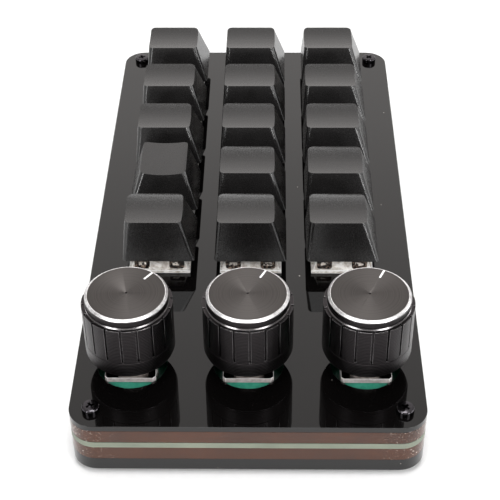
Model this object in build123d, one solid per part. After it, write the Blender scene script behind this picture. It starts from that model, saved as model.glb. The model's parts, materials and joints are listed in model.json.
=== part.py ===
from build123d import *
import os

# A desk keypad: three columns of five keys and a row of three press-and-turn knobs.
# The case is a stack of flat plates and open frames. Millimetres, +Z up, origin on the
# ground under the middle of the case, +X to the right and +Y away from the knobs.

# Layout, seen from above
column_pitch = 23.1
row_pitch = 20.8
column_count = 3
row_count = 5
knob_pitch = 27.3
front_edge_to_knobs = 20.2
knobs_to_first_row = 40.1
last_row_to_back_edge = 16.1
column_to_side_edge = 17.5
knob_to_side_edge = 13.3

# Case stack, from the ground up
foot_height = 2.0
bottom_plate_thickness = 3.5
lower_frame_height = 3.7
board_thickness = 1.6
top_plate_thickness = 1.5
plate_top_to_board = 5.2
case_corner_radius = 6.0
frame_wall = 5.0
frame_inner_radius = 2.0

# Fasteners and feet
screw_inset = 5.1
screw_radius = 1.0
screw_clearance = 0.1
screw_head_radius = 2.05
screw_head_height = 1.5
screw_head_bevel = 0.5
screw_bite = 3.0
thread_clearance = 0.03
standoff_radius = 1.75
standoff_clearance = 0.15
standoff_end_play = 0.2
screw_boss_wall = 2.6
foot_radius = 4.0
foot_inset = 13.5
foot_taper = 0.5

# Key switches
switch_cutout = 14.0
switch_fit = 0.05
switch_flange = 15.6
switch_flange_height = 1.0
switch_wall = 1.0
switch_floor = 1.4
switch_post_radius = 2.0
switch_post_length = 3.3
switch_post_floor = 0.3
post_hole_clearance = 0.1
cover_foot = 14.4
cover_top_width = 11.4
cover_top_depth = 10.8
cover_top_height = 6.6
cover_roof = 1.0
cover_wall = 1.1
clip_width = 2.8
clip_height = 1.6
clip_spacing = 8.2
clip_depth = 0.7
key_travel = 4.0

# Sliding stems
stem_width = 7.2
stem_depth = 5.8
stem_clearance = 0.2
stem_collar = 0.9
stem_skirt_height = 4.4
stem_roof_play = 0.1
stem_pole_radius = 1.4
stem_pole_clearance = 0.15
stem_bottom_play = 0.2
cross_span = 4.0
cross_arm = 1.2
cross_height = 3.6

# Keycaps
cap_base = 18.1
cap_corner = 1.4
cap_top_width = 11.9
cap_top_depth = 14.1
cap_top_shift = 1.2
cap_height = 9.85
cap_skirt_above_plate = 5.05
cap_dish = 0.6
cap_wall = 1.3
cap_roof = 1.7
cap_post_radius = 2.75
cap_post_play = 0.1
cross_fit = 0.03

# Rotary encoders
encoder_size = 11.8
encoder_height = 6.2
encoder_corner = 0.6
encoder_cover_skin = 0.4
encoder_lip = 1.4
encoder_leg_width = 2.2
encoder_base_inset = 0.1
encoder_base_floor = 0.4
encoder_well_radius = 3.6
bushing_radius = 3.5
bushing_height = 5.0
shaft_radius = 3.0
shaft_running_gap = 0.05
shaft_length = 15.0
shaft_flat_depth = 1.5
shaft_flat_length = 9.0
plunger_radius = 2.6
plunger_height = 1.4
push_travel = 0.5
push_play = 0.2
encoder_hole_clearance = 0.3

# Knobs
knob_radius = 10.35
knob_above_plate = 5.4
knob_height = 16.7
knob_foot_width = 0.9
knob_foot_height = 1.1
knob_foot_crown = 0.3
knob_band_height = 4.8
knob_rim_radius = 9.5
knob_rim_height = 2.5
knob_disc_radius = 8.95
knob_chamfer_height = 0.5
knob_rim_groove_depth = 0.35
knob_rim_groove_width = 0.4
knob_recess_radius = 7.0
knob_recess_depth = 4.2
knob_grooves = 18
knob_groove_width = 0.5
knob_groove_depth = 0.55
knob_cap_thickness = 1.6
insert_radius = 4.6
insert_shaft_fit = 0.02
pointer_angles = (52.0, 63.0, 65.0)
groove_angles_from_pointer = (14.4, 10.3, 6.7)

# Circuit parts under the board
usb_width = 8.94
usb_height = 3.2
usb_depth = 7.3
usb_corner = 1.2
usb_skin = 0.3
usb_gap = 0.3
usb_tongue_width = 6.7
usb_tongue_thickness = 0.7
usb_tongue_length = 4.6
usb_back_thickness = 1.2
chip_size = 7.0
chip_height = 0.9
diode_length = 2.7
diode_width = 1.4
diode_height = 1.1
diode_from_switch = 5.6

# Overall sizes that follow from the layout
case_half_width = max(column_pitch * (column_count - 1) / 2 + column_to_side_edge,
                      knob_pitch + knob_to_side_edge)
case_width = 2 * case_half_width
case_length = (front_edge_to_knobs + knobs_to_first_row + row_pitch * (row_count - 1)
               + last_row_to_back_edge)

# Heights of the stack's faces
lower_frame_bottom = foot_height + bottom_plate_thickness
board_bottom = lower_frame_bottom + lower_frame_height
board_top = board_bottom + board_thickness
plate_top = board_top + plate_top_to_board
plate_bottom = plate_top - top_plate_thickness
upper_frame_height = plate_top_to_board - top_plate_thickness

# Places of what repeats
front_edge = -case_length / 2
knob_y = front_edge + front_edge_to_knobs
first_row_y = knob_y + knobs_to_first_row
knob_places = [(knob_pitch * (i - 1), knob_y) for i in range(3)]
key_places = {}
for key_row in range(row_count):
    for key_column in range(column_count):
        key_x = column_pitch * (key_column - (column_count - 1) / 2)
        key_y = first_row_y + row_pitch * key_row
        # Row 1 is the far row and column 1 the left column
        key_places[(row_count - key_row, key_column + 1)] = (key_x, key_y)
screw_x = case_width / 2 - screw_inset
screw_y = case_length / 2 - screw_inset
screw_places = [(x, y) for x in (-screw_x, screw_x) for y in (-screw_y, screw_y)]
standoff_bottom = lower_frame_bottom + standoff_end_play
standoff_length = plate_bottom - lower_frame_bottom - 2 * standoff_end_play
encoder_top = board_top + encoder_height
encoder_hole_radius = encoder_size / 2 * 2 ** 0.5 - encoder_corner / 2 ** 0.5 + encoder_hole_clearance
knob_bottom = plate_top + knob_above_plate
cap_bottom = plate_top + cap_skirt_above_plate
usb_y = key_places[((row_count + 1) // 2, 1)][1]


def save(name, solids):
    """Write one node, made of one solid or of a group of solids."""
    if isinstance(solids, list):
        shape = Compound(children=solids) if len(solids) > 1 else solids[0]
    else:
        shape = solids
    export_step(shape, os.path.join("parts", name + ".step"))


def at(places, z, piece):
    """Copies of one piece, standing on height z at each place."""
    return [Pos(x, y, z) * piece for x, y in places]


def block(width, depth, height, x=0.0, y=0.0, z=0.0):
    """A box centred on x and y that stands on z."""
    return Pos(x, y, z) * Box(width, depth, height, align=(Align.CENTER, Align.CENTER, Align.MIN))


def rod(radius, height, x=0.0, y=0.0, z=0.0):
    """A cylinder that stands on z."""
    return Pos(x, y, z) * Cylinder(radius, height, align=(Align.CENTER, Align.CENTER, Align.MIN))


def solid_of(shape):
    """The one solid of a shape that was cut or joined."""
    return shape.solids()[0]


# The case's plates, frames and board

def case_outline():
    return RectangleRounded(case_width, case_length, case_corner_radius)


def screw_holes(radius):
    return [Pos(x, y) * Circle(radius) for x, y in screw_places]


def bottom_plate():
    sketch = case_outline() - screw_holes(screw_radius + screw_clearance)
    return solid_of(extrude(Pos(0, 0, foot_height) * sketch, bottom_plate_thickness))


def frame_sketch():
    """A closed ring with a round boss in each corner for the standoff."""
    boss_radius = standoff_radius + standoff_clearance + screw_boss_wall
    inside = RectangleRounded(case_width - 2 * frame_wall, case_length - 2 * frame_wall, frame_inner_radius)
    inside = inside - screw_holes(boss_radius)
    return case_outline() - inside - screw_holes(standoff_radius + standoff_clearance)


def lower_frame():
    ring = extrude(Pos(0, 0, lower_frame_bottom) * frame_sketch(), lower_frame_height)
    notch = block(2 * frame_wall, usb_width + 2 * usb_gap, lower_frame_height,
                  -case_width / 2, usb_y, lower_frame_bottom)
    return solid_of(ring - notch)


def circuit_board():
    sketch = case_outline() - screw_holes(standoff_radius + standoff_clearance)
    sketch = sketch - [Pos(x, y) * Circle(switch_post_radius + post_hole_clearance)
                       for x, y in key_places.values()]
    return solid_of(extrude(Pos(0, 0, board_bottom) * sketch, board_thickness))


def upper_frame():
    return solid_of(extrude(Pos(0, 0, board_top) * frame_sketch(), upper_frame_height))


def top_plate():
    sketch = case_outline() - screw_holes(screw_radius + screw_clearance)
    sketch = sketch - [Pos(x, y) * Rectangle(switch_cutout, switch_cutout) for x, y in key_places.values()]
    sketch = sketch - [Pos(x, y) * Circle(encoder_hole_radius) for x, y in knob_places]
    return solid_of(extrude(Pos(0, 0, plate_bottom) * sketch, top_plate_thickness))


# Screws, standoffs and feet

def pan_screw(clamped):
    """A pan-head screw that hangs below its head's seat at z = 0."""
    head = rod(screw_head_radius, screw_head_height)
    head = chamfer(head.edges().group_by(Axis.Z)[-1], screw_head_bevel)
    shank_length = clamped + standoff_end_play + screw_bite
    shank = rod(screw_radius, shank_length, z=-shank_length)
    return solid_of(head + shank)


def case_screws():
    upper = at(screw_places, plate_top, pan_screw(top_plate_thickness))
    lower = at(screw_places, foot_height, Rot(180, 0, 0) * pan_screw(bottom_plate_thickness))
    return upper + lower


def standoffs():
    tube = rod(standoff_radius, standoff_length) - rod(screw_radius + thread_clearance, standoff_length)
    return at(screw_places, standoff_bottom, solid_of(tube))


def rubber_feet():
    foot = Solid.make_cone(foot_radius - foot_taper, foot_radius, foot_height)
    x = case_width / 2 - foot_inset
    y = case_length / 2 - foot_inset
    return at([(sx * x, sy * y) for sx in (-1, 1) for sy in (-1, 1)], 0, foot)


# Key switches: heights are above the plate's top face

def clip_blocks(depth, width, height, z):
    """Boxes for the four latches, on the near and far sides of a switch."""
    reach = cover_foot / 2
    return [block(width, 2 * depth, height, sx * clip_spacing / 2, sy * reach, z)
            for sx in (-1, 1) for sy in (-1, 1)]


def switch_base():
    outside = switch_cutout - 2 * switch_fit
    body = block(outside, outside, plate_top_to_board, z=-plate_top_to_board)
    body += block(switch_flange, switch_flange, switch_flange_height)
    room = outside - 2 * switch_wall
    floor = -plate_top_to_board + switch_floor
    body -= block(room, room, switch_flange_height - floor, z=floor)
    post_end = -plate_top_to_board - switch_post_length
    body += rod(switch_post_radius, switch_post_length, z=post_end)
    bore_end = post_end + switch_post_floor
    body -= rod(stem_pole_radius + stem_pole_clearance, floor - bore_end, z=bore_end)
    return solid_of(body)


def tapered(width, depth, top_width, top_depth, height, shift=0.0):
    """A block with flat sloping sides, where a front profile and a side profile cross."""
    front = make_face(Plane.XZ * Polyline((-width / 2, 0), (width / 2, 0), (top_width / 2, height),
                                          (-top_width / 2, height), close=True))
    side = make_face(Plane.YZ * Polyline((-depth / 2, 0), (depth / 2, 0), (shift + top_depth / 2, height),
                                         (shift - top_depth / 2, height), close=True))
    return solid_of(extrude(front, depth, both=True) & extrude(side, width, both=True))


def switch_cover():
    """The tapered upper housing, open below, with the stem's window and four latch windows."""
    foot = switch_flange_height
    rise = cover_top_height - foot
    outer = Pos(0, 0, foot) * tapered(cover_foot, cover_foot, cover_top_width, cover_top_depth, rise)
    share = 1 - cover_roof / rise
    roof_width = cover_foot + (cover_top_width - cover_foot) * share - 2 * cover_wall
    roof_depth = cover_foot + (cover_top_depth - cover_foot) * share - 2 * cover_wall
    room = cover_foot - 2 * cover_wall
    inner = Pos(0, 0, foot) * tapered(room, room, roof_width, roof_depth, rise - cover_roof)
    window = block(stem_width + 2 * stem_clearance, stem_depth + 2 * stem_clearance, cover_top_height)
    cover = outer - inner - window
    for latch in clip_blocks(clip_depth, clip_width, clip_height, foot):
        cover -= latch
    return solid_of(cover)


def stem():
    """A slider with a collar under the cover's roof, a guide pole below and a cross on top."""
    top = cover_top_height
    collar_top = cover_top_height - cover_roof - stem_roof_play
    slider = block(stem_width, stem_depth, top - collar_top, z=collar_top)
    collar_width = stem_width + 2 * stem_collar
    collar_depth = stem_depth + 2 * stem_collar
    slider += block(collar_width, collar_depth, stem_skirt_height, z=collar_top - stem_skirt_height)
    pole_end = (-plate_top_to_board - switch_post_length + switch_post_floor
                + stem_bottom_play + key_travel)
    slider += rod(stem_pole_radius, collar_top - pole_end, z=pole_end)
    slider += block(cross_span, cross_arm, cross_height, z=top)
    slider += block(cross_arm, cross_span, cross_height, z=top)
    return solid_of(slider)


# Keycaps, drawn with the long sloped side towards -Y

def cap_form(height, inset):
    """The cap's sloping sides from the skirt up to one height, drawn in by a wall."""
    share = height / cap_height
    width = cap_base + (cap_top_width - cap_base) * share - 2 * inset
    depth = cap_base + (cap_top_depth - cap_base) * share - 2 * inset
    skirt = cap_base - 2 * inset
    return tapered(skirt, skirt, width, depth, height, cap_top_shift * share)


def keycap():
    """A hollow tapered cap with a dished top and a post that grips the stem's cross."""
    outer = cap_form(cap_height, 0)
    rising = [edge for edge in outer.edges() if edge.bounding_box().size.Z > cap_height / 2]
    outer = fillet(rising, cap_corner)
    dish_radius = cap_top_width ** 2 / (8 * cap_dish) + cap_dish / 2
    dish = Pos(0, 0, cap_height - cap_dish + dish_radius) * Rot(90, 0, 0) * Cylinder(dish_radius, 2 * cap_base)
    ceiling = cap_height - cap_dish - cap_roof
    inner = cap_form(ceiling, cap_wall)
    post_bottom = cover_top_height + cap_post_play - cap_skirt_above_plate
    cap = outer - dish - inner + rod(cap_post_radius, ceiling - post_bottom, z=post_bottom)
    slot_top = cover_top_height + cross_height + cap_post_play - cap_skirt_above_plate
    slot_depth = slot_top - post_bottom
    slot_long = cross_span + 2 * cross_fit
    slot_wide = cross_arm + 2 * cross_fit
    cap -= block(slot_long, slot_wide, slot_depth, z=post_bottom)
    cap -= block(slot_wide, slot_long, slot_depth, z=post_bottom)
    return solid_of(cap)


# Rotary encoders: heights are above the board's top face

def encoder_sketch(size):
    """A square with its corners cut off."""
    square = Rectangle(size, size)
    return chamfer(square.vertices(), encoder_corner)


def encoder_base():
    top = encoder_height - encoder_cover_skin
    size = encoder_size - 2 * (encoder_cover_skin + encoder_base_inset)
    body = extrude(encoder_sketch(size), top)
    return solid_of(body - rod(encoder_well_radius, top, z=encoder_base_floor))


def encoder_cover():
    """A folded metal lid with a short lip all round, two legs and the shaft's bushing."""
    lid = extrude(Pos(0, 0, encoder_height - encoder_lip) * encoder_sketch(encoder_size), encoder_lip)
    room = encoder_sketch(encoder_size - 2 * encoder_cover_skin)
    lid -= extrude(Pos(0, 0, encoder_height - encoder_lip) * room, encoder_lip - encoder_cover_skin)
    for side in (-1, 1):
        leg_x = side * (encoder_size - encoder_cover_skin) / 2
        lid += block(encoder_cover_skin, encoder_leg_width, encoder_height - encoder_lip, leg_x)
    lid += rod(bushing_radius, bushing_height, z=encoder_height)
    bore = rod(shaft_radius + shaft_running_gap, bushing_height + encoder_cover_skin,
               z=encoder_height - encoder_cover_skin)
    return solid_of(lid - bore)


def plunger():
    """The small disc under the shaft that works the push switch."""
    return rod(plunger_radius, plunger_height, z=encoder_base_floor + push_travel + push_play)


def shaft():
    """A round shaft with a flat, standing on the plunger, its flat towards -X."""
    bottom = encoder_base_floor + push_travel + push_play + plunger_height
    top = encoder_height + shaft_length
    body = rod(shaft_radius, top - bottom, z=bottom)
    flat_x = -shaft_radius + shaft_flat_depth / 2
    flat = block(shaft_flat_depth, 2 * shaft_radius, shaft_flat_length, flat_x, z=top - shaft_flat_length)
    return solid_of(body - flat)


# Knobs: heights are above the knob's lower edge, the pointer is on +X

def knob(first_groove):
    """A turned knob: grooved grip, smooth foot band, narrow rim, bright chamfer and flat disc."""
    grip_top = knob_height - knob_rim_height
    chamfer_bottom = knob_height - knob_chamfer_height
    profile = Polyline((knob_recess_radius, 0), (knob_radius - knob_foot_width, 0),
                       (knob_radius - knob_foot_crown, knob_foot_crown), (knob_radius, knob_foot_height),
                       (knob_radius, grip_top),
                       (knob_rim_radius - knob_rim_groove_depth, grip_top),
                       (knob_rim_radius - knob_rim_groove_depth, grip_top + knob_rim_groove_width),
                       (knob_rim_radius, grip_top + knob_rim_groove_width),
                       (knob_rim_radius, chamfer_bottom), (knob_disc_radius, knob_height),
                       (0, knob_height), (0, knob_height - knob_cap_thickness),
                       (insert_radius, knob_height - knob_cap_thickness), (insert_radius, knob_recess_depth),
                       (knob_recess_radius, knob_recess_depth), close=True)
    face = make_face(Plane.XZ * profile)
    body = revolve(face, Axis.Z)
    groove = block(2 * knob_groove_depth, knob_groove_width, grip_top - knob_band_height, knob_radius,
                   z=knob_band_height)
    for i in range(knob_grooves):
        body -= Rot(0, 0, first_groove + 360 * i / knob_grooves) * groove
    return solid_of(body)


def knob_insert():
    """The moulded sleeve between the knob and the shaft, with a bore that follows the flat."""
    bottom = knob_recess_depth
    top = knob_height - knob_cap_thickness
    sleeve = rod(insert_radius, top - bottom, z=bottom)
    fit_radius = shaft_radius + insert_shaft_fit
    flat_start = encoder_top + shaft_length - shaft_flat_length - knob_bottom
    round_end = max(flat_start, bottom)
    shaft_top = encoder_top + shaft_length - knob_bottom + insert_shaft_fit
    hole = rod(fit_radius, shaft_top - bottom, z=bottom)
    flat_x = -fit_radius + shaft_flat_depth / 2
    hole -= block(shaft_flat_depth, 2 * fit_radius, shaft_top - round_end, flat_x, z=round_end)
    return solid_of(sleeve - hole)


# Parts under the board

def usb_shell():
    """An oval metal sleeve whose mouth is flush with the case's left side."""
    left = -case_width / 2
    middle = Plane(origin=(left, usb_y, board_bottom - usb_height / 2), x_dir=(0, 1, 0), z_dir=(1, 0, 0))
    ring = RectangleRounded(usb_width, usb_height, usb_corner)
    ring -= RectangleRounded(usb_width - 2 * usb_skin, usb_height - 2 * usb_skin, usb_corner - usb_skin)
    return solid_of(extrude(middle * ring, usb_depth))


def usb_tongue():
    """The moulded back wall of the socket and the thin tongue that carries the contacts."""
    left = -case_width / 2
    back = left + usb_depth - usb_back_thickness
    middle = Plane(origin=(back, usb_y, board_bottom - usb_height / 2), x_dir=(0, 1, 0), z_dir=(1, 0, 0))
    inside = RectangleRounded(usb_width - 2 * usb_skin, usb_height - 2 * usb_skin, usb_corner - usb_skin)
    wall = extrude(middle * inside, usb_back_thickness)
    tongue = extrude(middle * Rectangle(usb_tongue_width, usb_tongue_thickness), -usb_tongue_length)
    return solid_of(wall + tongue)


def controller_chip():
    x = -column_pitch / 2
    y = usb_y - row_pitch / 2
    return block(chip_size, chip_size, chip_height, x, y, board_bottom - chip_height)


def board_diodes():
    body = block(diode_length, diode_width, diode_height)
    places = [(x, y + diode_from_switch) for x, y in key_places.values()]
    return at(places, board_bottom - diode_height, body)


# Write the nodes
os.makedirs("parts", exist_ok=True)
save("bottom_plate", bottom_plate())
save("lower_frame", lower_frame())
save("circuit_board", circuit_board())
save("upper_frame", upper_frame())
save("top_plate", top_plate())
save("case_screws", case_screws())
save("standoffs", standoffs())
save("rubber_feet", rubber_feet())
save("switch_bases", at(key_places.values(), plate_top, switch_base()))
save("switch_covers", at(key_places.values(), plate_top, switch_cover()))
save("usb_shell", usb_shell())
save("usb_tongue", usb_tongue())
save("controller_chip", controller_chip())
save("board_diodes", board_diodes())
save("encoder_bases", at(knob_places, board_top, encoder_base()))
save("encoder_covers", at(knob_places, board_top, encoder_cover()))

one_stem = stem()
one_cap = keycap()
for (row, column), (x, y) in key_places.items():
    # One cap in the second row from the front, on the left, is fitted unturned
    turn = 0 if (row, column) == (row_count - 1, 1) else 90
    save(f"stem_r{row}c{column}", Pos(x, y, plate_top) * one_stem)
    save(f"keycap_r{row}c{column}", Pos(x, y, cap_bottom) * Rot(0, 0, turn) * one_cap)

one_plunger = plunger()
one_shaft = shaft()
one_insert = knob_insert()
knob_angles = zip(knob_places, pointer_angles, groove_angles_from_pointer)
for number, ((x, y), angle, first_groove) in enumerate(knob_angles, 1):
    turned = Rot(0, 0, angle)
    save(f"plunger_{number}", Pos(x, y, board_top) * one_plunger)
    save(f"shaft_{number}", Pos(x, y, board_top) * turned * one_shaft)
    save(f"knob_{number}", Pos(x, y, knob_bottom) * turned * knob(first_groove))
    save(f"knob_insert_{number}", Pos(x, y, knob_bottom) * turned * one_insert)
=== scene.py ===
import json
import bmesh
import bpy
from math import atan, cos, pi, radians, sin
from mathutils import Matrix, Vector

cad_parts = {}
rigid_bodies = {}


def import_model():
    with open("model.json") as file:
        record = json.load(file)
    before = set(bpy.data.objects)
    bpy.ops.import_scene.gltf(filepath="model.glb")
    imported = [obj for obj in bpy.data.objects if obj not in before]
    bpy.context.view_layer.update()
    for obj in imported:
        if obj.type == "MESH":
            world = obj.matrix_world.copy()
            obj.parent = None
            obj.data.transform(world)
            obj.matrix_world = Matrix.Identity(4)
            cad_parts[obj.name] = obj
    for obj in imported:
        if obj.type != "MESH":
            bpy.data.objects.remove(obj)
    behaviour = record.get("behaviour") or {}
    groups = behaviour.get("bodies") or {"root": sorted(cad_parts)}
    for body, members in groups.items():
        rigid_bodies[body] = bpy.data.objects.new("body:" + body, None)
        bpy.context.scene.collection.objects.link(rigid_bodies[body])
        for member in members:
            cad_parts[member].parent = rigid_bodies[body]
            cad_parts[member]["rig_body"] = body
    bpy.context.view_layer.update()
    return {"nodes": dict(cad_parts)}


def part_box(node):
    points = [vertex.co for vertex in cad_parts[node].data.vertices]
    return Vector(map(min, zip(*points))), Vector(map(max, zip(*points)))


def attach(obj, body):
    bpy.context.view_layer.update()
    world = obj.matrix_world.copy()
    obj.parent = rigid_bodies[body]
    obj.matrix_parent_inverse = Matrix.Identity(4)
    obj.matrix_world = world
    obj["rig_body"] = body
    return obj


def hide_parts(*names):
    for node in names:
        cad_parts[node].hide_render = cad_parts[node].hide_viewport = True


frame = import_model()


# Rubber feet
# Four round bumpers of soft black rubber, moulded with a slight taper and pressed on under
# the bottom plate. Rubber scatters light widely, so it shows almost no highlight.
MM = 0.001
TOUCHING = 0.001 * MM
HARD_ANGLE = radians(30)
FLAT_ANGLE = radians(0.3)


def linear(hex_colour):
    """An sRGB hex colour as linear RGBA."""
    values = [int(hex_colour[i:i + 2], 16) / 255 for i in (0, 2, 4)]
    return [v / 12.92 if v <= 0.04045 else ((v + 0.055) / 1.055) ** 2.4 for v in values] + [1.0]


def plug(owner, node, inputs):
    """Set a shader node's inputs, each to a value or to another node's output."""
    for name, value in inputs.items():
        if isinstance(value, bpy.types.NodeSocket):
            owner.node_tree.links.new(value, node.inputs[name])
        else:
            node.inputs[name].default_value = value


def add(owner, kind, inputs=None, stops=(), **settings):
    """Add a shader node with its settings and links. Stops are a ramp's places and hex colours."""
    made = owner.node_tree.nodes.new("ShaderNode" + kind)
    for name, value in settings.items():
        setattr(made, name, value)
    plug(owner, made, inputs or {})
    for number, (place, colour) in enumerate(stops):
        made.color_ramp.elements[number].position = place
        made.color_ramp.elements[number].color = linear(colour)
    return made


def new_material(name):
    """An empty material, its own shader, and the point's place on the piece in metres."""
    material = bpy.data.materials.new(name)
    material.use_nodes = True
    shader = material.node_tree.nodes["Principled BSDF"]
    return material, shader, add(material, "TexCoord").outputs["Object"]


def merged_copy(node):
    """A CAD node's mesh with its loose triangles merged and its flat faces joined."""
    shape = bmesh.new()
    shape.from_mesh(frame["nodes"][node].data)
    bmesh.ops.remove_doubles(shape, verts=shape.verts, dist=TOUCHING)
    bmesh.ops.dissolve_limit(shape, angle_limit=FLAT_ANGLE, verts=shape.verts, edges=shape.edges)
    return shape


def show(shape, node, name, finishes, edge_mm=0.0, segments=2, bright_edges=False,
         in_place=True):
    """Show a shape in a CAD node's place or beside it, with its hard edges rounded.

    With bright_edges, the rounded edges take the last of the finishes.
    """
    mesh = bpy.data.meshes.new(name)
    shape.to_mesh(mesh)
    shape.free()
    for finish in finishes:
        mesh.materials.append(finish)
    mesh.polygons.foreach_set("use_smooth", [True] * len(mesh.polygons))
    mesh.set_sharp_from_angle(angle=HARD_ANGLE)
    piece = bpy.data.objects.new(name, mesh)
    bpy.context.scene.collection.objects.link(piece)
    if edge_mm:
        rounding = piece.modifiers.new("rounded edges", "BEVEL")
        rounding.width = edge_mm * MM
        rounding.segments = segments
        rounding.limit_method = "WEIGHT" if "bevel_weight_edge" in mesh.attributes else "ANGLE"
        rounding.angle_limit = HARD_ANGLE
        rounding.material = len(finishes) - 1 if bright_edges else -1
        rounding.harden_normals = True
    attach(piece, frame["nodes"][node]["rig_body"])
    if in_place:
        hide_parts(node)


rubber, shader, place = new_material("moulded_black_rubber")
pit_mm = 0.4
skin = add(rubber, "TexNoise", {"Vector": place, "Scale": 1 / (pit_mm * MM)})
colour = add(rubber, "ValToRGB", {"Fac": skin.outputs["Fac"]},
             stops=((0.35, "141414"), (0.7, "1e1d1d")))
relief = add(rubber, "Bump", {"Height": skin.outputs["Fac"], "Distance": 0.02 * MM})
plug(rubber, shader, {"Base Color": colour.outputs["Color"], "Roughness": 0.85, "IOR": 1.52,
                      "Normal": relief.outputs["Normal"]})
show(merged_copy("rubber_feet"), "rubber_feet", "soft_feet", [rubber], edge_mm=0.3)


# Top and bottom plates
# Sheets of black cast acrylic, cut by laser, so the faces are as flat and glossy as glass and
# the cut edges are flame-smooth. The black body shows only what it mirrors, with a little lint.
acrylic, shader, place = new_material("black_cast_acrylic")
lint_cell_mm = 3.8
lint_mm = 0.16
lint_share = 0.3
cells = add(acrylic, "TexVoronoi", {"Vector": place, "Scale": 1 / (lint_cell_mm * MM)})
near = add(acrylic, "Math", {0: cells.outputs["Distance"], 1: lint_mm / lint_cell_mm},
           operation="LESS_THAN")
draw = add(acrylic, "SeparateColor", {"Color": cells.outputs["Color"]})
rare = add(acrylic, "Math", {0: draw.outputs["Red"], 1: lint_share}, operation="LESS_THAN")
speck = add(acrylic, "Math", {0: near.outputs["Value"], 1: rare.outputs["Value"]},
            operation="MULTIPLY")
colour = add(acrylic, "ValToRGB", {"Fac": speck.outputs["Value"]},
             stops=((0.0, "070606"), (1.0, "a9a49e")))
smear_mm = 14
smear = add(acrylic, "TexNoise", {"Vector": place, "Scale": 1 / (smear_mm * MM), "Detail": 4.0})
gloss = add(acrylic, "MapRange", {"Value": smear.outputs["Fac"], "From Min": 0.35,
                                  "From Max": 0.75, "To Min": 0.012, "To Max": 0.05})
plug(acrylic, shader, {"Base Color": colour.outputs["Color"],
                       "Roughness": gloss.outputs["Result"], "IOR": 1.49})
for node, name in (("top_plate", "polished_top_plate"), ("bottom_plate", "polished_bottom_plate")):
    show(merged_copy(node), node, name, [acrylic], edge_mm=0.15)


# Upper and lower frames
# Rings of clear acrylic with a warm smoke tint, laser-cut from sheet and clamped between the
# plates and the board. The cut wall is polished, and the tint deepens where light goes far in.
tinted, shader, place = new_material("smoke_tinted_acrylic")
tint_cloud_mm = 9
cloud = add(tinted, "TexNoise", {"Vector": place, "Scale": 1 / (tint_cloud_mm * MM),
                                 "Detail": 3.0})
colour = add(tinted, "ValToRGB", {"Fac": cloud.outputs["Fac"]},
             stops=((0.3, "3f1c04"), (0.7, "512606")))
# Painted glints: pale specks near the corner screws, for the standoffs shining through the wall
painted_glint_mm = 0.45
painted_glint_side = (29 * MM, 38 * MM)
painted_glint_end = (68 * MM, 76 * MM)
painted_glint_noise = add(tinted, "TexNoise", {"Vector": place, "Scale": 1 / (painted_glint_mm * MM), "Detail": 2.0})
painted_glint_specks = add(tinted, "MapRange", {"Value": painted_glint_noise.outputs["Fac"], "From Min": 0.63,
                                "From Max": 0.72})
spot = add(tinted, "SeparateXYZ", {"Vector": place})
from_side = add(tinted, "Math", {0: spot.outputs["X"]}, operation="ABSOLUTE")
from_end = add(tinted, "Math", {0: spot.outputs["Y"]}, operation="ABSOLUTE")
at_side = add(tinted, "MapRange", {"Value": from_side.outputs["Value"],
                                   "From Min": painted_glint_side[0], "From Max": painted_glint_side[1]})
at_end = add(tinted, "MapRange", {"Value": from_end.outputs["Value"],
                                  "From Min": painted_glint_end[0], "From Max": painted_glint_end[1]})
at_corner = add(tinted, "Math", {0: at_side.outputs["Result"], 1: at_end.outputs["Result"]},
                operation="MULTIPLY")
painted_glint = add(tinted, "Math", {0: at_corner.outputs["Value"], 1: painted_glint_specks.outputs["Result"]},
            operation="MULTIPLY")
colour = add(tinted, "MixRGB", {"Fac": painted_glint.outputs["Value"],
                                "Color1": colour.outputs["Color"], "Color2": linear("dccdbd")})
plug(tinted, shader, {"Base Color": colour.outputs["Color"], "Roughness": 0.06, "IOR": 1.49,
                      "Transmission Weight": 0.3})
for node, name in (("upper_frame", "upper_tinted_frame"), ("lower_frame", "lower_tinted_frame")):
    show(merged_copy(node), node, name, [tinted], edge_mm=0.12)


# Circuit board
# A glass-fibre board under a green solder mask, which is smooth and half glossy. The routed
# edge is bare: pale grey-green laminate in thin plies, matt and a little uneven.
mask, shader, place = new_material("green_solder_mask")
mask_cloud_mm = 3
cloud = add(mask, "TexNoise", {"Vector": place, "Scale": 1 / (mask_cloud_mm * MM)})
colour = add(mask, "ValToRGB", {"Fac": cloud.outputs["Fac"]},
             stops=((0.3, "0b4a38"), (0.7, "11604a")))
plug(mask, shader, {"Base Color": colour.outputs["Color"], "Roughness": 0.3, "IOR": 1.5})

laminate, shader, place = new_material("bare_glass_fibre_edge")
ply_mm = 0.2
uneven_mm = 11
plies = add(laminate, "TexWave", {"Vector": place, "Scale": 2 * pi / (20 * ply_mm * MM),
                                  "Distortion": 3.0}, bands_direction="Z")
uneven = add(laminate, "TexNoise", {"Vector": place, "Scale": 1 / (uneven_mm * MM),
                                    "Detail": 3.0})
both = add(laminate, "Math", {0: plies.outputs["Fac"], 1: uneven.outputs["Fac"]},
           operation="MULTIPLY")
colour = add(laminate, "ValToRGB", {"Fac": both.outputs["Value"]},
             stops=((0.05, "5f6659"), (0.6, "8c9381")))
plug(laminate, shader, {"Base Color": colour.outputs["Color"], "Roughness": 0.55, "IOR": 1.55})

shape = merged_copy("circuit_board")
for face in shape.faces:
    face.material_index = 1 if abs(face.normal.z) < 0.5 else 0
show(shape, "circuit_board", "masked_circuit_board", [mask, laminate])


# Screws and standoffs
# Small cheese-head screws with a black nickel skin and a pressed cross, driven into brass
# tubes. The head is turned with a flat top and a rolled rim, which both catch the light.
black_nickel, shader, place = new_material("black_nickel_plated_steel")
plating_mm = 0.5
skin = add(black_nickel, "TexNoise", {"Vector": place, "Scale": 1 / (plating_mm * MM)})
colour = add(black_nickel, "ValToRGB", {"Fac": skin.outputs["Fac"]},
             stops=((0.3, "3a383b"), (0.7, "4c4a4d")))
plug(black_nickel, shader, {"Base Color": colour.outputs["Color"], "Metallic": 1.0,
                            "Roughness": 0.12})

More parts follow.
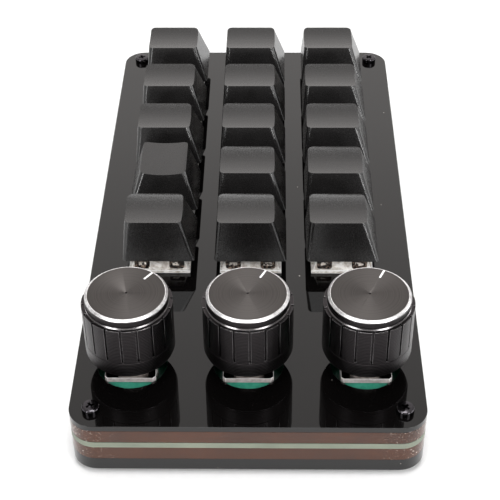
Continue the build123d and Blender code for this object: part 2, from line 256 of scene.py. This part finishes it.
# The lathe leaves the brass warm and half bright
brass, shader, place = new_material("turned_brass")
brass_grain_mm = 0.3
skin = add(brass, "TexNoise", {"Vector": place, "Scale": 1 / (brass_grain_mm * MM)})
colour = add(brass, "ValToRGB", {"Fac": skin.outputs["Fac"]},
             stops=((0.3, "b08d4b"), (0.7, "c9a86a")))
plug(brass, shader, {"Base Color": colour.outputs["Color"], "Metallic": 1.0, "Roughness": 0.25})

head_radius = 2.05 * MM
head_height = 1.5 * MM
roll_radius = 0.35 * MM
shank_radius = 1.0 * MM
top_shank = 4.7 * MM
bottom_shank = 6.7 * MM
cross_width = 0.7 * MM
cross_length = 2.7 * MM
cross_depth = 0.8 * MM
screw_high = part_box("case_screws")[1]
screw_x = screw_high.x - head_radius
screw_y = screw_high.y - head_radius
# Each screw stopped with its cross at an angle of its own, here in radians
screw_places = ((-screw_x, -screw_y, 0.5), (screw_x, -screw_y, 0.9), (-screw_x, screw_y, 0.3),
                (screw_x, screw_y, 0.75))
rack = bmesh.new()
for seat, shank_length, flip in ((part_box("top_plate")[1].z, top_shank, 0),
                                 (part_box("bottom_plate")[0].z, bottom_shank, pi)):
    screw = bmesh.new()
    outline = [(0, head_height), (head_radius - roll_radius, head_height)]
    for step in range(1, 4):
        roll = radians(30 * step)
        outline.append((head_radius - roll_radius * (1 - sin(roll)),
                        head_height - roll_radius * (1 - cos(roll))))
    outline += [(head_radius, 0), (shank_radius, 0), (shank_radius, -shank_length),
                (0, -shank_length)]
    points = [screw.verts.new((x, 0, z)) for x, z in outline]
    lines = [screw.edges.new(pair) for pair in zip(points, points[1:])]
    bmesh.ops.spin(screw, geom=points + lines, cent=(0, 0, 0), axis=(0, 0, 1), angle=2 * pi,
                   steps=40, use_merge=True)
    bmesh.ops.remove_doubles(screw, verts=screw.verts, dist=TOUCHING)
    bmesh.ops.recalc_face_normals(screw, faces=screw.faces)
    turned = bpy.data.meshes.new("turned_screw")
    screw.to_mesh(turned)
    screw.free()

    # The punch is two crossed bars that narrow towards their tips
    cross = bmesh.new()
    for angle in (0, pi / 2):
        bar = bmesh.ops.create_cube(cross, size=1.0)["verts"]
        bmesh.ops.scale(cross, vec=(cross_length, cross_width, 2 * cross_depth), verts=bar)
        tip = [point for point in bar if point.co.z < 0]
        bmesh.ops.scale(cross, vec=(0.5, 0.8, 1.0), verts=tip)
        bmesh.ops.rotate(cross, verts=bar, cent=(0, 0, 0), matrix=Matrix.Rotation(angle, 3, "Z"))
    bmesh.ops.translate(cross, vec=(0, 0, head_height), verts=cross.verts)
    punch = bpy.data.meshes.new("cross_punch")
    cross.to_mesh(punch)
    cross.free()
    blank = bpy.data.objects.new("screw_blank", turned)
    tool = bpy.data.objects.new("cross_punch", punch)
    for thing in (blank, tool):
        bpy.context.scene.collection.objects.link(thing)
    press = blank.modifiers.new("cross recess", "BOOLEAN")
    press.object = tool
    press.solver = "EXACT"
    press.use_self = True
    pressed = blank.evaluated_get(bpy.context.evaluated_depsgraph_get())
    struck = bpy.data.meshes.new_from_object(pressed)
    for thing in (blank, tool):
        bpy.data.objects.remove(thing)
    for x, y, twist in screw_places:
        start = len(rack.verts)
        rack.from_mesh(struck)
        rack.verts.ensure_lookup_table()
        turn = Matrix.Rotation(flip, 4, "X") @ Matrix.Rotation(twist, 4, "Z")
        bmesh.ops.transform(rack, matrix=Matrix.Translation((x, y, seat)) @ turn,
                            verts=rack.verts[start:])
show(rack, "case_screws", "cross_recess_screws", [black_nickel])
show(merged_copy("standoffs"), "standoffs", "turned_standoffs", [brass],
     edge_mm=0.08)


# Key switches
# Two-piece housings of clear polycarbonate, injection moulded and a little milky, whose edges
# gather light. The lower one's four spring teeth show dark in the upper one's windows.
milky, shader, place = new_material("milky_clear_polycarbonate")
flow_mm = 1.3
cloud = add(milky, "TexNoise", {"Vector": place, "Scale": 1 / (flow_mm * MM), "Detail": 4.0,
                                "Roughness": 0.6})
colour = add(milky, "ValToRGB", {"Fac": cloud.outputs["Fac"]},
             stops=((0.36, "c4bab0"), (0.6, "fffcf8")))
plug(milky, shader, {"Base Color": colour.outputs["Color"], "Roughness": 0.12, "IOR": 1.58,
                     "Transmission Weight": 0.1})

# Light that travels inside the clear plastic leaves it at the edges, which look white
lit_edge, shader, place = new_material("light_gathering_edge")
edge_cloud_mm = 0.9
cloud = add(lit_edge, "TexNoise", {"Vector": place, "Scale": 1 / (edge_cloud_mm * MM)})
colour = add(lit_edge, "ValToRGB", {"Fac": cloud.outputs["Fac"]},
             stops=((0.3, "fbfaf8"), (0.7, "ffffff")))
plug(lit_edge, shader, {"Base Color": colour.outputs["Color"], "Roughness": 0.15, "IOR": 1.58})

# A tooth's rim lies in the shade of its window, so it looks brown and nearly black
shadowed, shader, place = new_material("brown_shadowed_polycarbonate")
shade_mm = 0.6
cloud = add(shadowed, "TexNoise", {"Vector": place, "Scale": 1 / (shade_mm * MM),
                                   "Detail": 3.0})
colour = add(shadowed, "ValToRGB", {"Fac": cloud.outputs["Fac"]},
             stops=((0.5, "120d0a"), (0.68, "8d7a6c")))
plug(shadowed, shader, {"Base Color": colour.outputs["Color"], "Roughness": 0.1, "IOR": 1.58})

# A tooth's middle bends what lies behind it into bright and dark patches
broken, shader, place = new_material("broken_light_in_polycarbonate")
patch_mm = 0.7
cloud = add(broken, "TexNoise", {"Vector": place, "Scale": 1 / (patch_mm * MM), "Detail": 3.0})
colour = add(broken, "ValToRGB", {"Fac": cloud.outputs["Fac"]},
             stops=((0.44, "2b2019"), (0.56, "f4ebe2")))
plug(broken, shader, {"Base Color": colour.outputs["Color"], "Roughness": 0.1, "IOR": 1.58})

tooth_width = 3.8 * MM
tooth_depth = 0.5 * MM
tooth_height = 2.6 * MM
tooth_rounding = 0.7 * MM
tooth_rim = 0.85 * MM
tooth_spacing = 8.8 * MM
tooth_proud = 0.06 * MM
tooth_middle = 1.3 * MM
cover_foot = 14.4 * MM
cover_head = 10.8 * MM
cover_height = 5.6 * MM
cover_slope = (cover_foot - cover_head) / 2 / cover_height
flange_height = 1.0 * MM
flange_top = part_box("top_plate")[1].z + flange_height
key_names = [f"r{row}c{column}" for row in range(1, 6) for column in range(1, 4)]
tooth = bmesh.new()
bmesh.ops.create_cube(tooth, size=1.0)
bmesh.ops.scale(tooth, vec=(tooth_width, tooth_depth, tooth_height), verts=tooth.verts)
across = [edge for edge in tooth.edges
          if abs(edge.verts[0].co.y - edge.verts[1].co.y) > tooth_depth / 2]
bmesh.ops.bevel(tooth, geom=across, offset=tooth_rounding, offset_type="OFFSET", segments=4,
                profile=0.5, affect="EDGES", material=-1)
ends = [face for face in tooth.faces if abs(face.normal.y) > 0.9]
bmesh.ops.inset_individual(tooth, faces=ends, thickness=tooth_rim, depth=0.0)
for face in ends:
    face.material_index = 1
moulded_tooth = bpy.data.meshes.new("latch_tooth")
tooth.to_mesh(moulded_tooth)
tooth.free()
teeth = bmesh.new()
for key in key_names:
    low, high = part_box("stem_" + key)
    for side in (-1, 1):
        for end in (-1, 1):
            start = len(teeth.verts)
            teeth.from_mesh(moulded_tooth)
            teeth.verts.ensure_lookup_table()
            reach = cover_foot / 2 - cover_slope * tooth_middle - tooth_depth / 2 + tooth_proud
            seat = Vector(((low.x + high.x) / 2 + end * tooth_spacing / 2,
                           (low.y + high.y) / 2 + side * reach, flange_top + tooth_middle))
            lean = Matrix.Rotation(side * atan(cover_slope), 4, "X")
            bmesh.ops.transform(teeth, matrix=Matrix.Translation(seat) @ lean,
                                verts=teeth.verts[start:])
show(teeth, "switch_bases", "latch_teeth", [shadowed, broken], in_place=False)
for node, name in (("switch_bases", "lower_switch_housings"),
                   ("switch_covers", "upper_switch_housings")):
    show(merged_copy(node), node, name, [milky, lit_edge], edge_mm=0.3,
         bright_edges=True)


# Sliding stems
# The slider is moulded in slippery brown acetal, which looks smooth and waxy. Only its cross
# and shoulders stand above the housing, under the cap.
acetal, shader, place = new_material("brown_moulded_acetal")
acetal_cloud_mm = 0.8
cloud = add(acetal, "TexNoise", {"Vector": place, "Scale": 1 / (acetal_cloud_mm * MM)})
colour = add(acetal, "ValToRGB", {"Fac": cloud.outputs["Fac"]},
             stops=((0.3, "4a3328"), (0.7, "5c4234")))
plug(acetal, shader, {"Base Color": colour.outputs["Color"], "Roughness": 0.35, "IOR": 1.48})
for key in key_names:
    show(merged_copy("stem_" + key), "stem_" + key, "sliding_stem_" + key,
         [acetal], edge_mm=0.08)


# Keycaps
# Blank caps moulded in black plastic against a spark-eroded steel mould, so the skin has a fine
# satin grain, and the narrow corners draw the light into a thin line.
satin, shader, place = new_material("spark_textured_black_plastic")
# The real grain is about 0.05 mm, too fine for the picture, so it is drawn five times coarser
spark_grain_mm = 0.25
cap_cloud_mm = 5
skin = add(satin, "TexNoise", {"Vector": place, "Scale": 1 / (spark_grain_mm * MM),
                               "Detail": 3.0})
cloud = add(satin, "TexNoise", {"Vector": place, "Scale": 1 / (cap_cloud_mm * MM)})
colour = add(satin, "ValToRGB", {"Fac": cloud.outputs["Fac"]},
             stops=((0.3, "141313"), (0.7, "181717")))
gloss = add(satin, "MapRange", {"Value": skin.outputs["Fac"], "From Min": 0.3, "From Max": 0.7,
                                "To Min": 0.2, "To Max": 0.31})
relief = add(satin, "Bump", {"Height": skin.outputs["Fac"], "Distance": 0.01 * MM})
plug(satin, shader, {"Base Color": colour.outputs["Color"], "IOR": 1.53,
                     "Roughness": gloss.outputs["Result"], "Normal": relief.outputs["Normal"]})
skirt_half = 9.05 * MM
top_half_width = 5.95 * MM
top_half_depth = 7.05 * MM
top_shift = 1.2 * MM
cap_height = 9.85 * MM
top_corner = 1.4 * MM
skirt_corner = 0.9 * MM
unturned_cap = "r4c1"
for key in key_names:
    shape = merged_copy("keycap_" + key)
    low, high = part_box("keycap_" + key)
    seat = Matrix.Translation(((low.x + high.x) / 2, (low.y + high.y) / 2, low.z))
    seat = seat @ Matrix.Rotation(0 if key == unturned_cap else pi / 2, 4, "Z")
    bmesh.ops.transform(shape, matrix=seat.inverted(), verts=shape.verts)
    # The mould's corners are rounder at the top than at the skirt. Only points on the outer
    # wall's corners move, which lie at one corner radius from the corner's own axis
    for point in shape.verts:
        share = point.co.z / cap_height
        corner = top_corner * share + skirt_corner * (1 - share)
        flat_x = skirt_half + (top_half_width - skirt_half) * share - top_corner
        flat_y = skirt_half + (top_half_depth - skirt_half) * share - top_corner
        from_middle = Vector((point.co.x, point.co.y - top_shift * share))
        along = Vector((abs(from_middle.x) - flat_x, abs(from_middle.y) - flat_y)) / top_corner
        if min(along) > -0.02 and along.length > 0.95:
            out = (top_corner - corner) * (Vector((1, 1)) - along)
            point.co.x += out.x if from_middle.x > 0 else -out.x
            point.co.y += out.y if from_middle.y > 0 else -out.y
    bmesh.ops.transform(shape, matrix=seat, verts=shape.verts)
    show(shape, "keycap_" + key, "blank_cap_" + key, [satin], edge_mm=0.25,
         segments=3)


# Encoders
# A green moulded base, a folded lid of tin-plated steel with a pressed bushing, and a steel
# shaft. The soft plating is dull on the walls and glossy on top; the folds have a painted
# highlight.
plated, shader, place = new_material("tin_plated_steel")
plating_mm = 1.2
plating = add(plated, "TexNoise", {"Vector": place, "Scale": 1 / (plating_mm * MM),
                                   "Detail": 4.0})
colour = add(plated, "ValToRGB", {"Fac": plating.outputs["Fac"]},
             stops=((0.3, "c9c0bd"), (0.7, "efe9e6")))
relief = add(plated, "Bump", {"Height": plating.outputs["Fac"], "Distance": 0.03 * MM})
plug(plated, shader, {"Base Color": colour.outputs["Color"], "Metallic": 0.5,
                      "Roughness": 0.45, "Normal": relief.outputs["Normal"]})

# Painted highlight: the lid's rounded fold edges are painted a lighter, glossier grey
painted_fold_highlight, shader, place = new_material("painted_highlight_on_folds")
fold_highlight_grain_mm = 0.8
skin = add(painted_fold_highlight, "TexNoise", {"Vector": place, "Scale": 1 / (fold_highlight_grain_mm * MM)})
colour = add(painted_fold_highlight, "ValToRGB", {"Fac": skin.outputs["Fac"]},
             stops=((0.3, "dcd8d6"), (0.7, "fbfaf9")))
plug(painted_fold_highlight, shader, {"Base Color": colour.outputs["Color"], "Metallic": 0.4,
                         "Roughness": 0.35})

# The rolled face keeps its gloss, so the lid's top mirrors the dark knob above it
rolled, shader, place = new_material("glossy_rolled_face")
roll_cloud_mm = 0.9
skin = add(rolled, "TexNoise", {"Vector": place, "Scale": 1 / (roll_cloud_mm * MM),
                                "Detail": 2.0})
colour = add(rolled, "ValToRGB", {"Fac": skin.outputs["Fac"]},
             stops=((0.3, "a39d9a"), (0.7, "c4bfbc")))
plug(rolled, shader, {"Base Color": colour.outputs["Color"], "Metallic": 1.0,
                      "Roughness": 0.12})

# Dyed nylon looks strongly coloured and half glossy, with faint clouds in the dye
green, shader, place = new_material("green_moulded_nylon")
dye_cloud_mm = 1.5
cloud = add(green, "TexNoise", {"Vector": place, "Scale": 1 / (dye_cloud_mm * MM)})
colour = add(green, "ValToRGB", {"Fac": cloud.outputs["Fac"]},
             stops=((0.3, "4ccba8"), (0.7, "69e5c3")))
plug(green, shader, {"Base Color": colour.outputs["Color"], "Roughness": 0.3, "IOR": 1.53})

# The black nylon has a satin skin from a plain mould
black_plastic, shader, place = new_material("black_moulded_nylon")
nylon_skin_mm = 0.6
skin = add(black_plastic, "TexNoise", {"Vector": place, "Scale": 1 / (nylon_skin_mm * MM)})
colour = add(black_plastic, "ValToRGB", {"Fac": skin.outputs["Fac"]},
             stops=((0.3, "161616"), (0.7, "202020")))
plug(black_plastic, shader, {"Base Color": colour.outputs["Color"], "Roughness": 0.45,
                             "IOR": 1.53})

show(merged_copy("encoder_bases"), "encoder_bases", "green_encoder_bases",
     [green], edge_mm=0.1)
shape = merged_copy("encoder_covers")
for face in shape.faces:
    face.material_index = 1 if face.normal.z > 0.9 else 0
show(shape, "encoder_covers", "folded_encoder_lids",
     [plated, rolled, painted_fold_highlight], edge_mm=0.14, bright_edges=True)
for number in (1, 2, 3):
    show(merged_copy(f"shaft_{number}"), f"shaft_{number}", f"steel_shaft_{number}",
         [plated], edge_mm=0.15)
    show(merged_copy(f"plunger_{number}"), f"plunger_{number}", f"push_plunger_{number}",
         [black_plastic], edge_mm=0.1)
    show(merged_copy(f"knob_insert_{number}"), f"knob_insert_{number}",
         f"moulded_insert_{number}", [black_plastic], edge_mm=0.1)


# Cable socket, chip and diodes
# A folded steel sleeve around a black tongue, soldered under the board with a square chip and
# a row of small diodes in black epoxy.
show(merged_copy("usb_shell"), "usb_shell", "folded_socket_sleeve", [plated],
     edge_mm=0.05)
for node, name in (("usb_tongue", "socket_tongue"), ("controller_chip", "square_chip"),
                   ("board_diodes", "row_of_diodes")):
    show(merged_copy(node), node, name, [black_plastic], edge_mm=0.05)


# Knobs
# Turned from aluminium bar, milled with eighteen narrow grooves and anodised black. The top is
# spun to fine rings, a diamond tool cuts its rim bright, and the pointer slot is filled white.
anodised, shader, place = new_material("black_anodised_aluminium")
from_axis = add(anodised, "Attribute", attribute_name="from_axis").outputs["Vector"]
turning_pitch_mm = 0.45
turning = add(anodised, "TexWave",
              {"Vector": from_axis, "Scale": 2 * pi / (20 * turning_pitch_mm * MM),
               "Distortion": 0.8, "Detail": 1.0}, bands_direction="Z")
colour = add(anodised, "ValToRGB", {"Fac": turning.outputs["Fac"]},
             stops=((0.1, "211f20"), (0.9, "343132")))
gloss = add(anodised, "MapRange", {"Value": turning.outputs["Fac"], "From Min": 0.1,
                                   "From Max": 0.9, "To Min": 0.26, "To Max": 0.38})
relief = add(anodised, "Bump", {"Height": turning.outputs["Fac"], "Distance": 0.02 * MM})
plug(anodised, shader, {"Base Color": colour.outputs["Color"], "Metallic": 1.0,
                        "Roughness": gloss.outputs["Result"],
                        "Normal": relief.outputs["Normal"]})

# The tool's rings round the axis draw each lamp out into a fan across the disc
spun, shader, place = new_material("spun_black_aluminium")
from_axis = add(spun, "Attribute", attribute_name="from_axis").outputs["Vector"]
outwards = add(spun, "VectorMath", {0: from_axis}, operation="NORMALIZE")
reach = add(spun, "VectorMath", {0: from_axis}, operation="LENGTH")
# The real rings are about 0.1 mm apart, drawn wider so that they show
ring_mm = 0.25
rings = add(spun, "TexNoise", {"W": reach.outputs["Value"], "Scale": 1 / (ring_mm * MM),
                               "Detail": 2.0}, noise_dimensions="1D")
colour = add(spun, "ValToRGB", {"Fac": rings.outputs["Fac"]},
             stops=((0.3, "454241"), (0.7, "504d4b")))
plug(spun, shader, {"Base Color": colour.outputs["Color"], "Metallic": 1.0, "Roughness": 0.34,
                    "Anisotropic": 0.45, "Tangent": outwards.outputs["Vector"]})

# Bare metal fresh from the diamond tool is the brightest thing on the knob
diamond_cut, shader, place = new_material("diamond_cut_aluminium")
cut_streak_mm = 0.9
streaks = add(diamond_cut, "TexNoise", {"Vector": place, "Scale": 1 / (cut_streak_mm * MM),
                                        "Detail": 3.0})
colour = add(diamond_cut, "ValToRGB", {"Fac": streaks.outputs["Fac"]},
             stops=((0.35, "d2d0d1"), (0.6, "f6f5f5")))
plug(diamond_cut, shader, {"Base Color": colour.outputs["Color"], "Metallic": 1.0,
                           "Roughness": 0.38})

# Painted highlight: the knob's rounded edges are painted grey, so that they read as thin bright
# lines
painted_edge_highlight, shader, place = new_material("painted_highlight_on_knob_edges")
edge_streak_mm = 0.8
streaks = add(painted_edge_highlight, "TexNoise", {"Vector": place, "Scale": 1 / (edge_streak_mm * MM),
                                      "Detail": 2.0})
colour = add(painted_edge_highlight, "ValToRGB", {"Fac": streaks.outputs["Fac"]},
             stops=((0.3, "7c797a"), (0.7, "999697")))
plug(painted_edge_highlight, shader, {"Base Color": colour.outputs["Color"], "Metallic": 1.0,
                         "Roughness": 0.22})

# Enamel wiped into the slot dries flush, plain white and half matt
enamel, shader, place = new_material("white_enamel_fill")
enamel_grain_mm = 0.4
grain = add(enamel, "TexNoise", {"Vector": place, "Scale": 1 / (enamel_grain_mm * MM)})
colour = add(enamel, "ValToRGB", {"Fac": grain.outputs["Fac"]},
             stops=((0.3, "f4f3f2"), (0.7, "fcfcfb")))
plug(enamel, shader, {"Base Color": colour.outputs["Color"], "Roughness": 0.4, "IOR": 1.5})

knob_height = 16.7 * MM
grip_radius = 10.35 * MM
grip_bottom = 4.8 * MM
grip_top = knob_height - 2.5 * MM
groove_floor = grip_radius - 0.55 * MM
groove_half_width = 0.25 * MM
groove_half_angle = groove_half_width / grip_radius
groove_count = 18
land_steps = 4
disc_edge = 8.8 * MM
cut_start = 8.95 * MM
cut_end = 9.43 * MM
rim_radius = 9.5 * MM
rim_fall = 0.5 * MM
cut_slope = rim_fall / (rim_radius - cut_start)
cut_foot = knob_height - cut_slope * (cut_end - cut_start)
rim_top = knob_height - cut_slope * (rim_radius - cut_start)
collar_top = 9.15 * MM
collar_bottom = 9.6 * MM
collar_height = 0.4 * MM
foot_curve = ((grip_radius, 1.1 * MM), (10.05 * MM, 0.3 * MM), (9.45 * MM, 0))
pocket_radius = 7.0 * MM
pocket_height = 4.2 * MM
bore_radius = 4.6 * MM
bore_height = knob_height - 1.6 * MM
seam_height = 4.45 * MM
seam_half = 0.12 * MM
seam_depth = 0.18 * MM
dimple_radius = 0.3 * MM
dimple_depth = 0.08 * MM
outline = [(0, knob_height - dimple_depth), (dimple_radius, knob_height),
           (disc_edge, knob_height), (cut_start, knob_height), (cut_end, cut_foot),
           (rim_radius, rim_top), (rim_radius, grip_top + collar_height),
           (collar_top, grip_top + collar_height), (collar_bottom, grip_top),
           (groove_floor, grip_top), (grip_radius, grip_top), (grip_radius, grip_bottom),
           (grip_radius, seam_height + seam_half), (grip_radius - seam_depth, seam_height),
           (grip_radius, seam_height - seam_half), *foot_curve, (pocket_radius, 0),
           (pocket_radius, pocket_height), (bore_radius, pocket_height),
           (bore_radius, bore_height), (0, bore_height)]
pointer_half_width = 0.23 * MM
pointer_start = 6.0 * MM
pointer_depth = 0.03 * MM
slack = 0.01 * MM
worn_angle = radians(28)
# In degrees: where each pointer stands on the case, and the first groove after it
pointer_angles = (52.0, 63.0, 65.0)
groove_angles_from_pointer = (14.4, 10.3, 6.7)
for number, (angle, first_groove) in enumerate(zip(pointer_angles, groove_angles_from_pointer), 1):
    shape = bmesh.new()
    points = [shape.verts.new((x, 0, z)) for x, z in outline]
    last = points + [shape.edges.new(pair) for pair in zip(points, points[1:])]
    bmesh.ops.rotate(shape, verts=points, cent=(0, 0, 0),
                     matrix=Matrix.Rotation(-groove_half_angle, 3, "Z"))
    groove_turn = 2 * groove_half_angle
    land_turn = 2 * pi / groove_count - groove_turn
    for groove in range(groove_count):
        for turn, steps in ((groove_turn, 1), (land_turn, land_steps)):
            last = bmesh.ops.spin(shape, geom=last, cent=(0, 0, 0), axis=(0, 0, 1), angle=turn,
                                  steps=steps)["geom_last"]
    bmesh.ops.remove_doubles(shape, verts=shape.verts, dist=TOUCHING)
    bmesh.ops.recalc_face_normals(shape, faces=shape.faces)

    # The grooves are milled inwards from the grip, and run out through its upper edge
    for groove in range(groove_count):
        heading = 2 * pi * groove / groove_count
        toward = Vector((cos(heading), sin(heading)))
        cut = []
        for face in shape.faces:
            middle = face.calc_center_median()
            on_grip = middle.xy.length > groove_floor and grip_bottom < middle.z < grip_top + slack
            if on_grip and middle.xy.normalized().dot(toward) > cos(groove_half_angle / 2):
                cut.append(face)
        pushed = bmesh.ops.extrude_face_region(shape, geom=cut)["geom"]
        for point in pushed:
            if isinstance(point, bmesh.types.BMVert):
                from_middle = max(point.co.xy.length, groove_floor)
                point.co.xy *= groove_floor * cos(groove_half_angle) / from_middle
        bmesh.ops.delete(shape, geom=[face for face in cut if face.is_valid],
                         context="FACES_ONLY")
    # Only points of the grip are merged. The dimple's lie closer together than that, and stay
    milled = [point for point in shape.verts if point.co.xy.length > cut_start]
    bmesh.ops.remove_doubles(shape, verts=milled, dist=2 * slack)
    bmesh.ops.dissolve_degenerate(shape, edges=shape.edges, dist=TOUCHING)
    bmesh.ops.rotate(shape, verts=shape.verts, cent=(0, 0, 0),
                     matrix=Matrix.Rotation(radians(first_groove), 3, "Z"))

    # The pointer is a shallow slot in the disc, on the knob's own +X
    for spot, direction in (((0, pointer_half_width, 0), (0, 1, 0)),
                            ((0, -pointer_half_width, 0), (0, 1, 0)),
                            ((pointer_start, 0, 0), (1, 0, 0))):
        disc = []
        for face in shape.faces:
            middle = face.calc_center_median()
            level = face.normal.z > 0.99 and middle.z > knob_height - slack
            if level and middle.xy.length < disc_edge:
                disc.append(face)
        around = {edge for face in disc for edge in face.edges}
        around |= {point for face in disc for point in face.verts}
        bmesh.ops.bisect_plane(shape, geom=disc + list(around), plane_co=spot,
                               plane_no=direction)
    slot = []
    for face in shape.faces:
        middle = face.calc_center_median()
        reach_out = middle.xy.length
        if face.normal.z > 0.99 and middle.z > knob_height - slack and reach_out < disc_edge:
            face.material_index = 1
            if abs(middle.y) < pointer_half_width and middle.x > pointer_start:
                slot.append(face)
        elif middle.z > cut_foot and disc_edge - 5 * slack < reach_out < cut_end:
            face.material_index = 2
        # The collar's sloped face takes the same painted highlight
        elif 0.3 < face.normal.z < 0.95 and grip_top < middle.z < grip_top + collar_height:
            face.material_index = 4
    pushed = bmesh.ops.extrude_face_region(shape, geom=slot)["geom"]
    floor_points = [point for point in pushed if isinstance(point, bmesh.types.BMVert)]
    bmesh.ops.translate(shape, vec=(0, 0, -pointer_depth), verts=floor_points)
    bmesh.ops.delete(shape, geom=[face for face in slot if face.is_valid], context="FACES_ONLY")
    for face in {face for point in floor_points for face in point.link_faces}:
        face.material_index = 3

    # The bevel takes only outward edges, and leaves the fine seam sharp
    weights = shape.edges.layers.float.new("bevel_weight_edge")
    for edge in shape.edges:
        at_seam = all(abs(point.co.z - seam_height) < 2 * seam_half for point in edge.verts)
        if len(edge.link_faces) == 2 and edge.is_convex and not at_seam:
            edge[weights] = 1.0 if edge.calc_face_angle() > worn_angle else 0.0

    # Each point keeps its place from the disc's middle, for the rings and turning marks
    axis_place = shape.verts.layers.float_vector.new("from_axis")
    turned = Matrix.Rotation(radians(angle), 4, "Z")
    for point in shape.verts:
        point[axis_place] = turned @ (point.co - Vector((0, 0, knob_height)))
    low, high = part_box(f"knob_{number}")
    seat = Matrix.Translation(((low.x + high.x) / 2, (low.y + high.y) / 2, low.z))
    bmesh.ops.transform(shape, matrix=seat @ turned, verts=shape.verts)
    show(shape, f"knob_{number}", f"turned_knob_{number}",
         [anodised, spun, diamond_cut, enamel, painted_edge_highlight], edge_mm=0.1, bright_edges=True)


# Studio
# A pale sweep of paper under soft lamps above, in front and at the sides, with a lighter wall
# behind. The camera stands where the picture was taken: in front of the knobs, looking down.
def seen_share(owner, rays):
    """1 for rays that show what lies behind: the camera's, and those from gloss and glass."""
    shown = add(owner, "Math", {0: rays.outputs["Is Camera Ray"],
                                1: rays.outputs["Is Glossy Ray"]}, operation="ADD")
    return add(owner, "Math", {0: shown.outputs["Value"],
                               1: rays.outputs["Is Transmission Ray"]},
               operation="ADD", use_clamp=True).outputs["Value"]


# Matt paper, with a little glow where it is seen directly, so that it stays white
paper, shader, place = new_material("pale_paper")
fibre_mm = 2
paper_glow = 0.03
fibres = add(paper, "TexNoise", {"Vector": place, "Scale": 1 / (fibre_mm * MM)})
colour = add(paper, "ValToRGB", {"Fac": fibres.outputs["Fac"]},
             stops=((0.3, "f4f4f4"), (0.7, "f7f7f7")))
glow = add(paper, "Math", {0: seen_share(paper, add(paper, "LightPath")), 1: paper_glow},
           operation="MULTIPLY")
plug(paper, shader, {"Base Color": colour.outputs["Color"], "Roughness": 0.9,
                     "Emission Color": (1, 1, 1, 1), "Emission Strength": glow.outputs["Value"]})

sweep_metres = 3.0
sweep = bmesh.new()
bmesh.ops.create_grid(sweep, x_segments=1, y_segments=1, size=sweep_metres)
floor_mesh = bpy.data.meshes.new("paper_sweep")
sweep.to_mesh(floor_mesh)
sweep.free()
floor_mesh.materials.append(paper)
floor = bpy.data.objects.new("paper_sweep", floor_mesh)
bpy.context.scene.collection.objects.link(floor)

# The room is bright low down and behind, and darker above, in front and far to the sides
room = bpy.data.worlds.new("white studio")
bpy.context.scene.world = room
room.use_nodes = True
wall_low = 1.4
wall_high = 0.85
front_light = 0.3
side_light = 0.25
scattered_light = 0.4
seen_white = 1.1
warm_white = (1.0, 0.965, 0.945, 1.0)
heading = add(room, "SeparateXYZ", {"Vector": add(room, "TexCoord").outputs["Generated"]})
wall = add(room, "MapRange", {"Value": heading.outputs["Z"], "From Min": 0.56,
                              "From Max": 0.78, "To Min": wall_low, "To Max": wall_high})
front = add(room, "MapRange", {"Value": heading.outputs["Y"], "From Min": -0.5,
                               "From Max": 0.4, "To Min": front_light, "To Max": 1.0})
sideways = add(room, "Math", {0: heading.outputs["X"]}, operation="ABSOLUTE")
middle = add(room, "MapRange", {"Value": sideways.outputs["Value"], "From Min": 0.25,
                                "From Max": 0.5, "To Min": 1.0, "To Max": side_light})
shown = add(room, "Math", {0: wall.outputs["Result"], 1: front.outputs["Result"]},
            operation="MULTIPLY")
shown = add(room, "Math", {0: shown.outputs["Value"], 1: middle.outputs["Result"]},
            operation="MULTIPLY")
rays = add(room, "LightPath")
share = add(room, "MapRange", {"Value": seen_share(room, rays), "To Min": scattered_light,
                               "To Max": 1.0})
strength = add(room, "Math", {0: shown.outputs["Value"], 1: share.outputs["Result"]},
               operation="MULTIPLY")
# The camera sees plain white from every side, and the darker front only shows in what is glossy
white = add(room, "Math", {0: rays.outputs["Is Camera Ray"], 1: seen_white},
            operation="MULTIPLY")
strength = add(room, "Math", {0: strength.outputs["Value"], 1: white.outputs["Value"]},
               operation="MAXIMUM")
plug(room, room.node_tree.nodes["Background"], {"Color": warm_white,
                                                "Strength": strength.outputs["Value"]})

# Each lamp's name, place, width and height in metres, and power in watts
lamps = (("overhead", (0.0, 0.0, 0.8), 0.3, 0.9, 6.0),
         ("front left", (-0.52, -0.58, 0.7), 0.34, 0.34, 3.0),
         ("front right", (0.5, -0.6, 0.7), 0.34, 0.34, 3.2),
         ("right", (0.55, -0.05, 0.14), 0.6, 0.12, 1.2),
         ("left", (-0.55, -0.05, 0.14), 0.6, 0.07, 0.4),
         ("low front left", (-0.42, -0.6, 0.12), 0.14, 0.12, 1.1),
         ("low front right", (0.42, -0.6, 0.12), 0.14, 0.12, 1.4))
aimed_at = Vector((0, 0, 0.02))
for name, spot, width, height, power in lamps:
    lamp = bpy.data.lights.new(name + " softbox", "AREA")
    lamp.shape = "RECTANGLE"
    lamp.size = width
    lamp.size_y = height
    lamp.energy = power
    stand = bpy.data.objects.new(name + " softbox", lamp)
    aim = (Vector(spot) - aimed_at).to_track_quat("Z", "Y")
    stand.matrix_world = Matrix.Translation(spot) @ aim.to_matrix().to_4x4()
    bpy.context.scene.collection.objects.link(stand)

photo_side = 500
focal_px = 1304.7
camera_place = (0.00545, -0.27775, 0.2323)
camera_pitch = radians(39.775)
camera_yaw = radians(-1.268)
camera_roll = radians(-0.663)
look = Vector((sin(camera_yaw) * cos(camera_pitch), cos(camera_yaw) * cos(camera_pitch),
               -sin(camera_pitch)))
level = Vector((cos(camera_yaw), -sin(camera_yaw), 0))
above = level.cross(look)
right = level * cos(camera_roll) + above * sin(camera_roll)
up = above * cos(camera_roll) - level * sin(camera_roll)
camera_turn = Matrix((right, up, -look)).transposed().to_4x4()
camera_data = bpy.data.cameras.new("camera")
camera_data.sensor_width = 36
camera_data.lens = focal_px / photo_side * camera_data.sensor_width
camera_data.clip_start = 0.01
camera = bpy.data.objects.new("camera", camera_data)
camera.matrix_world = Matrix.Translation(camera_place) @ camera_turn
bpy.context.scene.collection.objects.link(camera)
bpy.context.scene.camera = camera
bpy.context.scene.view_settings.view_transform = "Standard"
